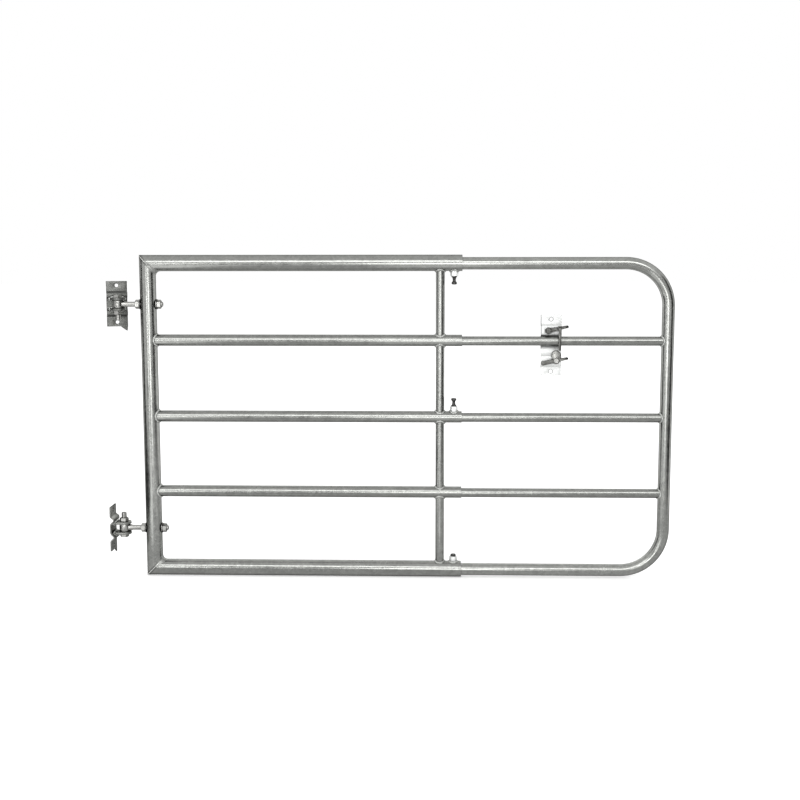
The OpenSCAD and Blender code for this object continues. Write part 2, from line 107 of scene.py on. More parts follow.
def colour_setting(name, description, default):
    return FloatVectorProperty(
        name=name, description=description, subtype="COLOR", size=3, min=0.0, max=1.0, default=default)


def length_setting(name, description, low, high, default):
    return FloatProperty(
        name=name, description=description, subtype="DISTANCE", unit="LENGTH", min=low, max=high, default=default)


def level_setting(name, description, high, default):
    return FloatProperty(name=name, description=description, min=0.0, max=high, default=default)


class GateFinishSettings(bpy.types.PropertyGroup):
    """Colours and grain of the gate's zinc and steel surfaces"""

    tube_colour: colour_setting(
        "Tube colour", "Zinc of the post, rails, bars and end frame", (0.285, 0.29, 0.277))
    plate_colour: colour_setting(
        "Hinge plate colour", "Dull zinc of the hinge plates and ears", (0.15, 0.153, 0.145))
    catch_colour: colour_setting(
        "Catch plate colour", "Bright zinc of the catch plate", (0.79, 0.80, 0.79))
    hardware_colour: colour_setting(
        "Hardware colour", "Zinc plating of the eyebolts, nuts, washers and hinge bolts", (0.37, 0.37, 0.355))
    boss_colour: colour_setting(
        "Boss colour", "Clean zinc of the welded lock bosses", (0.78, 0.79, 0.78))
    screw_colour: colour_setting(
        "Lock screw colour", "Blackened steel of the lock screws", (0.07, 0.07, 0.068))
    pawl_colour: colour_setting(
        "Pawl colour", "Worn zinc of the pawls", (0.115, 0.115, 0.11))
    # Painted shade on the rounded edges of the pieces; it is also the base of the painted highlight and the grey
    # painted shade on other edges
    edge_shade_colour: colour_setting(
        "Edge colour", "Rubbed, darkened edges of plates, ears and pawls", (0.06, 0.06, 0.057))
    weld_colour: colour_setting(
        "Weld colour", "Zinc paint over the weld beads", (0.54, 0.55, 0.53))
    spangle_size: length_setting(
        "Spangle size", "Width of one crystal in the zinc", 0.001, 0.03, 0.007)
    mottle_size: length_setting(
        "Mottle size", "Width of the cloudy patches in the zinc", 0.005, 0.2, 0.035)


class GateShapeSettings(bpy.types.PropertyGroup):
    """Sizes of the modelled welds, threads and edges"""

    bead: length_setting(
        "Weld bead", "Radius of the weld beads round the bars", 0.0005, 0.005, 0.0034)
    seam: length_setting(
        "Ground seam", "Radius of the ground seams at the mitred corners", 0.0003, 0.003, 0.0022)
    fillet: length_setting(
        "Corner fillet", "Radius of the weld fillet inside the mitred corners", 0.0, 0.02, 0.014)
    ripple: length_setting(
        "Ripple length", "Distance between two ripples of a weld", 0.001, 0.008, 0.0034)
    edge: length_setting(
        "Edge radius", "Rounding of the edges of plates, bosses and washers", 0.0001, 0.002, 0.0006)
    thread_pitch: length_setting(
        "Thread pitch", "Pitch of the hinge hardware's threads", 0.0008, 0.003, 0.002)
    thread_steps: IntProperty(
        name="Steps to a turn", description="Facets round one turn of a thread",
        min=12, max=64, default=32)


class GateStageSettings(bpy.types.PropertyGroup):
    """Floor, lamps and camera"""

    floor_colour: colour_setting(
        "Floor colour", "Pale floor", (1.0, 1.0, 1.0))
    window: level_setting(
        "Window level", "Brightness of the wide soft window high in front of the gate", 10.0, 3.2)
    low_window: level_setting(
        "Low window level", "Brightness of the two smaller soft windows at the gate's height", 10.0, 4.6)
    back_window: level_setting(
        "Back window level", "Brightness of the soft window behind the gate", 10.0, 1.8)
    ambient: level_setting(
        "Ambient level", "Soft light from all round", 2.0, 0.7)
    flag: level_setting(
        "Flag level", "Lightness of the dark cards that shape the reflections", 1.0, 0.05)
    near_floor: level_setting(
        "Near floor level", "Lightness of the floor before the gate in its reflections", 2.0, 0.72)
    lens: FloatProperty(
        name="Lens", description="Focal length of the camera in millimetres",
        min=20.0, max=200.0, default=54.0)


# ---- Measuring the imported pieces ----

def middle(node):
    lo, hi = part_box(node)
    return (lo + hi) / 2


def half(node):
    lo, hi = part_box(node)
    return (hi - lo) / 2


def mount(name):
    return next(m for m in RECORD["mounts"] if m["name"] == name)


def joint(name):
    return next(j for j in frame["joints"] if j["name"] == name)


# ---- Mesh helpers ----

def mesh_from(bm, name):
    """Turns a finished bmesh into a mesh and frees it."""
    mesh = bpy.data.meshes.new(name)
    bm.to_mesh(mesh)
    bm.free()
    return mesh


def put(name, bm, body, material, smooth_angle=35):
    """Makes a finished mesh a piece that rides on a body."""
    mesh = mesh_from(bm, name)
    mesh.materials.append(material)
    mesh.polygons.foreach_set("use_smooth", [True] * len(mesh.polygons))
    mesh.set_sharp_from_angle(angle=math.radians(smooth_angle))
    piece = bpy.data.objects.new(name, mesh)
    bpy.context.scene.collection.objects.link(piece)
    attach(piece, body)
    return piece


def stand_in(node, suffix, bm, smooth_angle=35):
    """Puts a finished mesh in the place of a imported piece."""
    piece = put(node + suffix, bm, BODY_OF[node], finish_of(node), smooth_angle)
    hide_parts(node)
    return piece


def add_part(bm, part, place):
    """Turns a closed part's faces outwards, moves it into place and adds it to a mesh."""
    bmesh.ops.recalc_face_normals(part, faces=part.faces)
    part.transform(place)
    mesh = mesh_from(part, "part")
    bm.from_mesh(mesh)
    bpy.data.meshes.remove(mesh)


def turned(z_axis, x_axis, at):
    """Matrix that puts local +Z and +X on the given directions, at a point."""
    z = Vector(z_axis).normalized()
    x = Vector(x_axis).normalized()
    y = z.cross(x)
    m = Matrix((x, y, z)).transposed().to_4x4()
    m.translation = at
    return m


def spin_round(bm, outline, steps):
    """Spins an outline once round the Z axis and closes it on itself."""
    bmesh.ops.spin(
        bm, geom=outline, cent=(0, 0, 0), axis=(0, 0, 1), angle=2 * math.pi, steps=steps, use_merge=True)


def sweep_straight(bm, outline, length, steps):
    """Sweeps a closed outline along Z and caps both ends."""
    bmesh.ops.spin(
        bm, geom=outline, cent=(0, 0, 0), axis=(0, 0, 1), dvec=(0, 0, length / steps),
        angle=0.0, steps=steps, use_merge=False)
    bmesh.ops.remove_doubles(bm, verts=bm.verts, dist=1e-7)
    bmesh.ops.holes_fill(bm, edges=[e for e in bm.edges if e.is_boundary], sides=0)


def ring(radius, bead, steps, sides=8):
    """New bmesh with a closed ring of round section about the Z axis."""
    bm = bmesh.new()
    start = bmesh.ops.create_circle(
        bm, segments=sides, radius=bead,
        matrix=Matrix.Translation((radius, 0, 0)) @ Matrix.Rotation(math.pi / 2, 4, "X"))["verts"]
    spin_round(bm, start + bm.edges[:], steps)
    return bm


def wander(a, b, layer):
    """Slow, repeatable unevenness along a weld, from -1 to 1; each layer has its own."""
    return noise.noise(Vector((a, b, layer * 7.13)))


# ---- Shader helpers ----

def times(colour, factor):
    return tuple(c * factor for c in colour)


def new_group(name, settings, results):
    """Node group that takes a place and its own settings, and gives numbers."""
    group = bpy.data.node_groups.new(name, "ShaderNodeTree")
    sockets = group.interface
    sockets.new_socket(name="Vector", in_out="INPUT", socket_type="NodeSocketVector")
    for label, value in settings.items():
        kind = "NodeSocketFloat" if isinstance(value, float) else "NodeSocketVector"
        sockets.new_socket(name=label, in_out="INPUT", socket_type=kind).default_value = value
    for label in results:
        sockets.new_socket(name=label, in_out="OUTPUT", socket_type="NodeSocketFloat")
    return group, group.nodes.new("NodeGroupInput").outputs, group.nodes.new("NodeGroupOutput").inputs


def feed(tree, socket, value):
    """Links another node's output to a socket, or sets the socket to a plain value."""
    if isinstance(value, bpy.types.NodeSocket):
        tree.links.new(value, socket)
    else:
        socket.default_value = value


def math_node(tree, operation, a, b=None):
    node = tree.nodes.new("ShaderNodeMath")
    node.operation = operation
    feed(tree, node.inputs[0], a)
    if b is not None:
        feed(tree, node.inputs[1], b)
    return node.outputs[0]


def vector_node(tree, operation, *values):
    node = tree.nodes.new("ShaderNodeVectorMath")
    node.operation = operation
    for socket, value in zip(node.inputs, values):
        feed(tree, socket, value)
    return node


def mapped(tree, value, low, high, to_low, to_high):
    node = tree.nodes.new("ShaderNodeMapRange")
    tree.links.new(value, node.inputs["Value"])
    for label, number in (("From Min", low), ("From Max", high), ("To Min", to_low), ("To Max", to_high)):
        feed(tree, node.inputs[label], number)
    return node.outputs["Result"]


def noise_node(tree, vector, scale, detail=3.0, rough=0.55):
    node = tree.nodes.new("ShaderNodeTexNoise")
    node.inputs["Detail"].default_value = detail
    node.inputs["Roughness"].default_value = rough
    tree.links.new(vector, node.inputs["Vector"])
    feed(tree, node.inputs["Scale"], scale)
    return node.outputs["Fac"]


def swing(tree, value, amount):
    """A texture's value about its middle, times an amount."""
    return math_node(tree, "MULTIPLY", math_node(tree, "SUBTRACT", value, 0.5), amount)


def blended(tree, factor, a, b):
    """Mixes a linked colour towards a plain one."""
    node = tree.nodes.new("ShaderNodeMix")
    node.data_type = "RGBA"
    tree.links.new(factor, node.inputs["Factor"])
    tree.links.new(a, node.inputs[6])
    node.inputs[7].default_value = (*b, 1.0)
    return node.outputs[2]


# ---- Shared surface effects ----

def spangle_group(name):
    """Zinc crystals: each cell has its own grey and a slightly domed face."""
    group, given, made = new_group(name, {"Cell size": 0.006, "Contrast": 0.2}, ("Tone", "Height"))
    scale = math_node(group, "DIVIDE", 1.0, given["Cell size"])
    warp = group.nodes.new("ShaderNodeTexNoise")
    warp.inputs["Detail"].default_value = 2.0
    group.links.new(given["Vector"], warp.inputs["Vector"])
    group.links.new(scale, warp.inputs["Scale"])
    bend = vector_node(group, "MULTIPLY_ADD", warp.outputs["Color"], (0.003, 0.003, 0.003), given["Vector"])
    cells = group.nodes.new("ShaderNodeTexVoronoi")
    group.links.new(bend.outputs[0], cells.inputs["Vector"])
    group.links.new(scale, cells.inputs["Scale"])
    split = group.nodes.new("ShaderNodeSeparateColor")
    group.links.new(cells.outputs["Color"], split.inputs[0])
    tone = math_node(group, "ADD", swing(group, split.outputs[0], given["Contrast"]), 1.0)
    height = math_node(group, "ADD", cells.outputs["Distance"], split.outputs[1])
    group.links.new(tone, made["Tone"])
    group.links.new(height, made["Height"])
    return group


def mottle_group(name):
    """Cloudy patches of thicker and thinner zinc over a fine grain."""
    group, given, made = new_group(
        name, {"Patch size": 0.035, "Contrast": 0.3, "Grain": 0.2}, ("Tone", "Roughness", "Height"))
    scale = math_node(group, "DIVIDE", 1.0, given["Patch size"])
    cloud = noise_node(group, given["Vector"], scale, 5.0, 0.6)
    grain = noise_node(group, given["Vector"], math_node(group, "MULTIPLY", scale, 16.0), 2.0)
    swings = math_node(group, "ADD", swing(group, cloud, given["Contrast"]),
                       swing(group, grain, given["Grain"]))
    height = math_node(group, "ADD", math_node(group, "MULTIPLY", cloud, 0.6),
                       math_node(group, "MULTIPLY", grain, 0.4))
    group.links.new(math_node(group, "ADD", swings, 1.0), made["Tone"])
    group.links.new(mapped(group, cloud, 0.3, 0.7, -0.06, 0.08), made["Roughness"])
    group.links.new(height, made["Height"])
    return group


def draw_line_group(name):
    """Faint lines that tube drawing leaves along one axis, and a few long scuffs."""
    group, given, made = new_group(
        name, {"Stretch": (1.0, 1.0, 1.0), "Depth": 0.1}, ("Tone", "Scuffs", "Height"))
    stretched = vector_node(group, "MULTIPLY", given["Vector"], given["Stretch"]).outputs[0]
    lines = noise_node(group, stretched, 420.0, 2.0)
    marks = noise_node(group, stretched, 95.0, 3.0, 0.7)
    tone = math_node(group, "ADD", swing(group, lines, given["Depth"]), 1.0)
    group.links.new(tone, made["Tone"])
    group.links.new(mapped(group, marks, 0.66, 0.74, 0.0, 1.0), made["Scuffs"])
    group.links.new(lines, made["Height"])
    return group


def grime_group(name):
    """Patchy dull film, as a mask from 0, no film, to 1, grimy."""
    group, given, made = new_group(name, {"Size": 0.02, "Amount": 0.4}, ("Mask",))
    scale = math_node(group, "DIVIDE", 1.0, given["Size"])
    patch = noise_node(group, given["Vector"], scale, 6.0, 0.65)
    start = math_node(group, "SUBTRACT", 0.85, math_node(group, "MULTIPLY", given["Amount"], 0.6))
    end = math_node(group, "ADD", start, 0.25)
    group.links.new(mapped(group, patch, start, end, 0.0, 1.0), made["Mask"])
    return group


def band_group(name):
    """Soft dark band along a plane, near a point, as a mask from 0 to 1."""
    group, given, made = new_group(
        name, {"Point": (0.0, 0.0, 0.0), "Across": (1.0, 0.0, 0.0), "Width": 0.004, "Reach": 0.05}, ("Mask",))
    away = vector_node(group, "SUBTRACT", given["Vector"], given["Point"]).outputs[0]
    plane = vector_node(group, "DOT_PRODUCT", away, given["Across"]).outputs["Value"]
    length = vector_node(group, "LENGTH", away).outputs["Value"]
    beside = math_node(group, "DIVIDE", math_node(group, "ABSOLUTE", plane), given["Width"])
    along = math_node(group, "DIVIDE", length, given["Reach"])
    near = mapped(group, along, 0.75, 1.0, 1.0, 0.0)
    mask = math_node(group, "MULTIPLY", mapped(group, beside, 0.2, 1.0, 1.0, 0.0), near)
    group.links.new(mask, made["Mask"])
    return group


def use(tree, group, **values):
    """Places a shared effect in a material with its own values."""
    node = tree.nodes.new("ShaderNodeGroup")
    node.node_tree = group
    for label, value in values.items():
        feed(tree, node.inputs[label.replace("_", " ").capitalize()], value)
    return node


def effects():
    """The shared effects by key, each made when it is first needed."""
    makers = {
        "spangle": ("Zinc spangle", spangle_group), "mottle": ("Zinc mottle", mottle_group),
        "lines": ("Drawing lines", draw_line_group), "grime": ("Grime", grime_group),
        "band": ("Dark band", band_group)}
    return {key: bpy.data.node_groups.get(name) or make(name) for key, (name, make) in makers.items()}


# A band of another shade: depth is how fully it covers, tint is its lightness over the finish's own
Band = namedtuple("Band", "point across width reach depth tint")


def disc_band(point, radius, depth, tint):
    """Band with no direction across it, which is a disc; its width has no effect."""
    return Band(point, Vector((0, 0, 0)), 0.01, radius, depth, tint)


# ---- Finishes ----

def zinc_surface(tree, place, rough, spangle, mottle, grain, stretch, grime, grime_size):
    """Tone, height and roughness of a zinc surface, and the mask of the dull film on it."""
    s = bpy.context.scene.gate_finish
    e = effects()
    crystals = use(tree, e["spangle"], Vector=place, Cell_size=s.spangle_size, Contrast=spangle)
    clouds = use(tree, e["mottle"], Vector=place, Patch_size=s.mottle_size, Contrast=mottle, Grain=grain)
    film = use(tree, e["grime"], Vector=place, Size=grime_size, Amount=grime).outputs["Mask"]
    tone = math_node(tree, "MULTIPLY", crystals.outputs["Tone"], clouds.outputs["Tone"])
    height = math_node(tree, "ADD", math_node(tree, "MULTIPLY", crystals.outputs["Height"], 0.35),
                       clouds.outputs["Height"])
    roughness = math_node(tree, "ADD", clouds.outputs["Roughness"], rough)
    roughness = math_node(tree, "ADD", roughness, math_node(tree, "MULTIPLY", film, 0.12))
    if stretch:
        lines = use(tree, e["lines"], Vector=place, Stretch=stretch, Depth=0.16)
        scuffs = math_node(tree, "MULTIPLY", lines.outputs["Scuffs"], 0.10)
        tone = math_node(tree, "MULTIPLY", tone, lines.outputs["Tone"])
        tone = math_node(tree, "ADD", tone, scuffs)
        height = math_node(tree, "ADD", height, math_node(tree, "MULTIPLY", lines.outputs["Height"], 0.5))
        roughness = math_node(tree, "SUBTRACT", roughness, scuffs)
    return tone, height, roughness, film


def zinc(name, colour, rough=0.36, edge=0.45, spangle=0.2, mottle=0.3, grain=0.2, stretch=None,
         grime=0.25, grime_size=0.03, bump=0.35, metallic=1.0, crevice_shade=0.6, reach=0.008,
         bands=(), dark_past_x=None):
    """Zinc or bare steel: crystals, clouding, drawing lines and a thin dull film, with painted shade in its
    crevices and any bands of painted shade or of another tone.
    """
    material = bpy.data.materials.new(name)
    material.use_nodes = True
    tree = material.node_tree
    shader = tree.nodes["Principled BSDF"]
    shader.inputs["Metallic"].default_value = metallic
    shader.inputs["Specular Tint"].default_value = (edge, edge, edge, 1.0)
    place = tree.nodes.new("ShaderNodeTexCoord").outputs["Object"]
    tone, height, roughness, film = zinc_surface(
        tree, place, rough, spangle, mottle, grain, stretch, grime, grime_size)

    base = tree.nodes.new("ShaderNodeRGB")
    base.outputs[0].default_value = (*colour, 1.0)
    toned = vector_node(tree, "SCALE", base.outputs[0])
    tree.links.new(tone, toned.inputs["Scale"])
    shade = blended(tree, film, toned.outputs[0], [c * k for c, k in zip(colour, FILM_TINT)])
    # Painted shade: the base colour darkens towards a dark tint where ambient occlusion finds other surfaces
    # within reach, in creases, recesses and between parts
    corner = tree.nodes.new("ShaderNodeAmbientOcclusion")
    corner.samples = 8
    corner.inputs["Distance"].default_value = reach
    painted_crevice_shade = mapped(tree, corner.outputs["AO"], 0.25, 0.85, crevice_shade, 0.0)
    shade = blended(tree, painted_crevice_shade, shade, times(colour, CREVICE_SHADE_TINT))
    for band in bands:
        mask = use(tree, effects()["band"], Vector=place, Point=band.point, Across=band.across,
                   Width=band.width, Reach=band.reach).outputs["Mask"]
        shade = blended(tree, math_node(tree, "MULTIPLY", mask, band.depth), shade, times(colour, band.tint))
    if dark_past_x is not None:
        split = tree.nodes.new("ShaderNodeSeparateXYZ")
        tree.links.new(place, split.inputs[0])
        tip = mapped(tree, split.outputs[0], dark_past_x, dark_past_x + 0.004, 0.0, 1.0)
        shade = blended(tree, tip, shade, TIP_BLACK)
    tree.links.new(shade, shader.inputs["Base Color"])
    tree.links.new(roughness, shader.inputs["Roughness"])

    relief = tree.nodes.new("ShaderNodeBump")
    relief.inputs["Strength"].default_value = bump
    relief.inputs["Distance"].default_value = RELIEF
    tree.links.new(height, relief.inputs["Height"])
    tree.links.new(relief.outputs["Normal"], shader.inputs["Normal"])


FINISH_OF = {}


def finish_of(node):
    return bpy.data.materials[FINISH_OF[node]]


class GATE_OT_finishes(bpy.types.Operator):
    """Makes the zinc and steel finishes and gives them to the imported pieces"""

    bl_idname = "gate.finishes"
    bl_label = "Zinc finishes"

    def execute(self, context):
        s = context.scene.gate_finish
        self.tube_finishes(s)
        self.steel_finishes(s)
        self.weld_finishes(s)
        self.edge_finishes(s)
        for node in NODES:
            self.give(node, self.finish_for(node))
        return {"FINISHED"}

    def tube_finishes(self, s):
        along_x, along_z = (0.02, 1.0, 1.0), (1.0, 1.0, 0.02)
        tube = {"rough": 0.20, "edge": 0.25, "spangle": 0.18, "mottle": 0.36, "grain": 0.16, "bump": 0.07}
        post = {**tube, "rough": 0.22, "grain": 0.24, "bump": 0.12}
        # Painted shade: dark bands along the mitre plane at each corner of the post and its rails
        corners = [
            Band(Vector((middle("hinge_post").x, 0, middle(rail).z)), Vector((1, 0, up)).normalized(),
                 width=0.0060, reach=0.050, depth=0.75, tint=0.1)
            for rail, up in CORNERS]
        # Painted light: the standing tubes and the end frame take a copy of the tube zinc painted 1.15 times
        # lighter
        lit_tube_colour = times(s.tube_colour, 1.15)
        zinc("rail_zinc", s.tube_colour, stretch=along_x, bands=corners, **tube)
        zinc("post_zinc", lit_tube_colour, stretch=along_z, bands=corners, **post)
        zinc("upright_zinc", lit_tube_colour, stretch=along_z, **tube)
        zinc("end_frame_zinc", lit_tube_colour, **tube)

    def steel_finishes(self, s):
        # Painted light: the lower hinge's plate and ears take a copy of the hinge zinc painted 1.7 times lighter
        # than the upper one's
        for hinge, lit_copy_factor in (("upper", 1.0), ("lower", 1.7)):
            zinc(hinge + "_hinge_zinc", times(s.plate_colour, lit_copy_factor), rough=0.40, spangle=0.25,
                 mottle=0.6, grain=0.5, grime=0.45, bump=0.6, edge=0.3, crevice_shade=0.9, reach=0.014)
        zinc("catch_plate_zinc", s.catch_colour, rough=0.5, spangle=0.10, mottle=0.12, grain=0.1,
             grime=0.10, bump=0.3, metallic=0.45, edge=1.0, crevice_shade=0.9, reach=0.018, bands=self.catch_bands())
        zinc("hardware_zinc", s.hardware_colour, rough=0.22, spangle=0.1, mottle=0.3, grain=0.3,
             grime=0.25, grime_size=0.008, bump=0.25, edge=0.15, crevice_shade=0.7, reach=0.005)
        zinc("boss_zinc", s.boss_colour, rough=0.45, spangle=0.12, mottle=0.2, grain=0.2,
             grime=0.15, grime_size=0.008, metallic=0.55, edge=0.6)
        zinc("lock_screw_steel", s.screw_colour, rough=0.42, spangle=0.05, mottle=0.5, grain=0.5,
             grime=0.35, grime_size=0.006, edge=0.8)
        past_plate = middle("catch_plate").x + half("catch_plate").x + 0.010
        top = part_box("lower_pawl")[1].z
        disc = Vector((middle("lower_pawl_bolt").x, middle("lower_pawl").y, top - 0.0134))
        zinc("worn_pawl_zinc", s.pawl_colour, rough=0.30, spangle=0.3, mottle=0.9, grain=0.8,
             grime=0.6, grime_size=0.006, edge=0.15, crevice_shade=0.95, dark_past_x=past_plate,
             bands=[disc_band(disc, radius=0.0130, depth=0.9, tint=2.8)])

    def weld_finishes(self, s):
        zinc("weld_zinc", s.weld_colour, rough=0.44, spangle=0.1, mottle=0.6, grain=0.5,
             grime=0.45, grime_size=0.006, bump=0.8, edge=0.6)
        # The ground seams take the weld paint 1.5 times lighter: partly brighter ground zinc, partly a painted
        # highlight along the seam
        zinc("seam_zinc", times(s.weld_colour, 1.5), rough=0.34, spangle=0.1, mottle=0.3, grain=0.3,
             grime=0.2, grime_size=0.006, bump=0.4, edge=0.6, crevice_shade=0.2)
        zinc("fillet_zinc", times(s.tube_colour, 1.1), rough=0.36, spangle=0.2, mottle=0.6, grain=0.4,
             grime=0.4, grime_size=0.01, edge=0.25, crevice_shade=0.8)

    def edge_finishes(self, s):
        # painted shade on rounded edges
        zinc("dark_edge", s.edge_shade_colour, rough=0.40, spangle=0.1, mottle=0.5, grain=0.5,
             grime=0.5, grime_size=0.006, edge=0.2, crevice_shade=0.9)
        # painted highlight on the rounded edges of the hinge ears
        zinc("bright_edge", times(s.edge_shade_colour, 8), rough=0.34, spangle=0.1, mottle=0.4, grain=0.4,
             grime=0.35, grime_size=0.006, edge=0.3, crevice_shade=0.8)
        # grey painted shade on the rounded edges of the catch plate and the lock bosses
        zinc("grey_edge", times(s.edge_shade_colour, 5), rough=0.45, spangle=0.1, mottle=0.3, grain=0.3,
             grime=0.3, grime_size=0.006, edge=0.4, crevice_shade=0.6)

    def catch_bands(self):
        """Painted shade along the left edge, the painted shadow under the bar and painted shade round the rims of
        the two screw holes.
        """
        lo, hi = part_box("catch_plate")
        x = middle("catch_plate").x
        under_bar = middle("upper_slide_bar").z - half("upper_slide_bar").y
        hole_inset = 0.012
        bands = [
            # painted shade along the plate's left edge
            Band(Vector((lo.x, lo.y, hi.z - 0.025)), Vector((1, 0, 0)),
                 width=0.0034, reach=0.055, depth=0.7, tint=0.1),
            # painted shadow of the bar, a dark gradient just under it
            Band(Vector((x, lo.y, under_bar)), Vector((0, 0, 1)),
                 width=0.0110, reach=0.060, depth=0.9, tint=0.1)]
        # painted shade at the rims of the two screw holes
        for z in (hi.z - hole_inset, lo.z + hole_inset):
            bands.append(disc_band(Vector((x, hi.y - 0.003, z)), radius=0.0072, depth=0.9, tint=0.06))
        return bands

    def give(self, node, finish):
        FINISH_OF[node] = finish
        slots = NODES[node].data.materials
        slots.clear()
        slots.append(finish_of(node))

    def finish_for(self, node):
        if node in RAILS:
            return "rail_zinc"
        if node in STANDING_TUBES:
            return "post_zinc" if node == "hinge_post" else "upright_zinc"
        if node in ("end_frame", "catch_plate"):
            return node + "_zinc"
        if "lock_boss" in node:
            return "boss_zinc"
        if "lock_screw" in node:
            return "lock_screw_steel"
        if node.endswith(("hinge_plate", "hinge_ears")):
            return node.split("_")[0] + "_hinge_zinc"
        if node in ("upper_pawl", "lower_pawl", "upper_pawl_bolt"):
            return "worn_pawl_zinc"
        return "hardware_zinc"


# ---- Softened steel pieces ----

def softened(node, edge, painted_edge_finish=None):
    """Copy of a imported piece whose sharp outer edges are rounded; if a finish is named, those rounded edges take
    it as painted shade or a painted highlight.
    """
    bm = bmesh.new()
    bm.from_mesh(NODES[node].data)
    bmesh.ops.remove_doubles(bm, verts=bm.verts, dist=2e-6)
    bmesh.ops.dissolve_limit(
        bm, angle_limit=math.radians(0.6), verts=bm.verts, edges=bm.edges, use_dissolve_boundaries=False)
    edges = [e for e in bm.edges if len(e.link_faces) == 2 and e.is_convex
             and e.calc_face_angle(0.0) > math.radians(30)]
    rounded = bmesh.ops.bevel(
        bm, geom=edges, offset=edge, offset_type="OFFSET", segments=2, profile=0.5,
        affect="EDGES", material=-1, clamp_overlap=True)["faces"]
    if painted_edge_finish:
        for face in rounded:
            face.material_index = 1
    piece = stand_in(node, "_softened", bm)
    if painted_edge_finish:
        piece.data.materials.append(bpy.data.materials[painted_edge_finish])


class GATE_OT_hinge_plates(bpy.types.Operator):
    """Rounds the sheared edges of the hinge plates and their ears"""

    bl_idname = "gate.hinge_plates"
    bl_label = "Hinge plates"

    def execute(self, context):
        edge = context.scene.gate_shape.edge
        for hinge in PAIR:
            # the plates' rounded edges take painted shade
            softened(hinge + "_hinge_plate", edge * 1.2, "dark_edge")
            # the ears' rounded edges take a painted highlight
            softened(hinge + "_hinge_ears", edge * 1.6, "bright_edge")
        return {"FINISHED"}


class GATE_OT_catch(bpy.types.Operator):
    """Rounds the edges of the catch plate and the pawls"""

    bl_idname = "gate.catch"
    bl_label = "Catch"

    def execute(self, context):
        edge = context.scene.gate_shape.edge
        # the catch plate's rounded edges take grey painted shade
        softened("catch_plate", edge * 1.4, "grey_edge")
        for side in PAIR:
            # the pawls' rounded edges take painted shade
            softened(side + "_pawl", edge * 2.6, "dark_edge")
        return {"FINISHED"}


# ---- Bolts, nuts and screws ----

def lathe(bm, outline, closed, steps=96):
    """Spins an outline of (radius, height) pairs into a round solid about the Z axis."""
    corners = [bm.verts.new((r, 0, t)) for r, t in outline]
    following = corners[1:] + corners[:1] if closed else corners[1:]
    edges = [bm.edges.new(pair) for pair in zip(corners, following)]
    spin_round(bm, corners + edges, steps)
    bmesh.ops.remove_doubles(bm, verts=bm.verts, dist=1e-6)


def press_flats(bm, low, high, across, phase, chamfered):
    """Presses six flats between two heights; a chamfered end keeps its cone, so each flat ends in an arc."""
    face_r = across * FACE_SHARE
    for v in bm.verts:
        r = math.hypot(v.co.x, v.co.y)
        if r < face_r * 1.01 or not low - 1e-6 < v.co.z < high + 1e-6:
            continue
        turn = math.atan2(v.co.y, v.co.x) - phase
        off = (turn % (math.pi / 3)) - math.pi / 6
        flat = across / 2 / math.cos(off)
        if flat < r:
            v.co.x *= flat / r
            v.co.y *= flat / r
            slope = (flat - face_r) * CHAMFER_SLOPE
            if "low" in chamfered and v.co.z < (low + high) / 2:
                v.co.z = low + slope
            elif "high" in chamfered and v.co.z > (low + high) / 2:
                v.co.z = high - slope


class Fastener:
    """Measures of a packed bolt or nut about its own axis."""

    def __init__(self, node, axis):
        self.axis = axis
        self.u, self.v = [k for k in range(3) if k != axis]
        self.centre = middle(node)
        points = [v.co for v in NODES[node].data.vertices]
        radii = [self.radius(p) for p in points]
        self.corner = max(radii)
        self.across = self.corner * 2 * math.cos(math.pi / 6)
        self.face_r = self.across * FACE_SHARE
        self.drop = (self.corner - self.face_r) * CHAMFER_SLOPE
        self.shank = max(r for r in radii if r < self.across * 0.45)
        far = [p for p, r in zip(points, radii) if r > self.corner * 0.97]
        self.head = (min(p[axis] for p in far), max(p[axis] for p in far))
        lo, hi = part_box(node)
        self.span = (lo[axis], hi[axis])
        tip = far[0]
        self.phase = math.atan2(tip[self.v] - self.centre[self.v], tip[self.u] - self.centre[self.u])

    def radius(self, point):
        return math.hypot(point[self.u] - self.centre[self.u], point[self.v] - self.centre[self.v])

    def place(self, bm):
        """Turns a solid made about Z onto this piece's axis."""
        axes = [Vector((0, 0, 0)) for _ in range(3)]
        axes[0][self.u], axes[1][self.v], axes[2][self.axis] = 1, 1, 1
        m = Matrix(axes).transposed().to_4x4()
        at = self.centre.copy()
        at[self.axis] = 0
        m.translation = at
        bm.transform(m)
        bm.normal_update()
        bmesh.ops.recalc_face_normals(bm, faces=bm.faces)


def hex_nut(node, axis):
    """Nut with a chamfer at both faces."""
    nut = Fastener(node, axis)
    low, high = nut.span
    bore, face_r, corner = nut.shank, nut.face_r, nut.corner
    bm = bmesh.new()
    lathe(bm, [(bore, low + BREAK), (bore + BREAK, low), (face_r, low), (corner, low + nut.drop),
               (corner, (low + high) / 2), (corner, high - nut.drop), (face_r, high),
               (bore + BREAK, high), (bore, high - BREAK)], closed=True)
    press_flats(bm, low, high, nut.across, nut.phase, ("low", "high"))
    nut.place(bm)
    stand_in(node, "_turned", bm, 28)


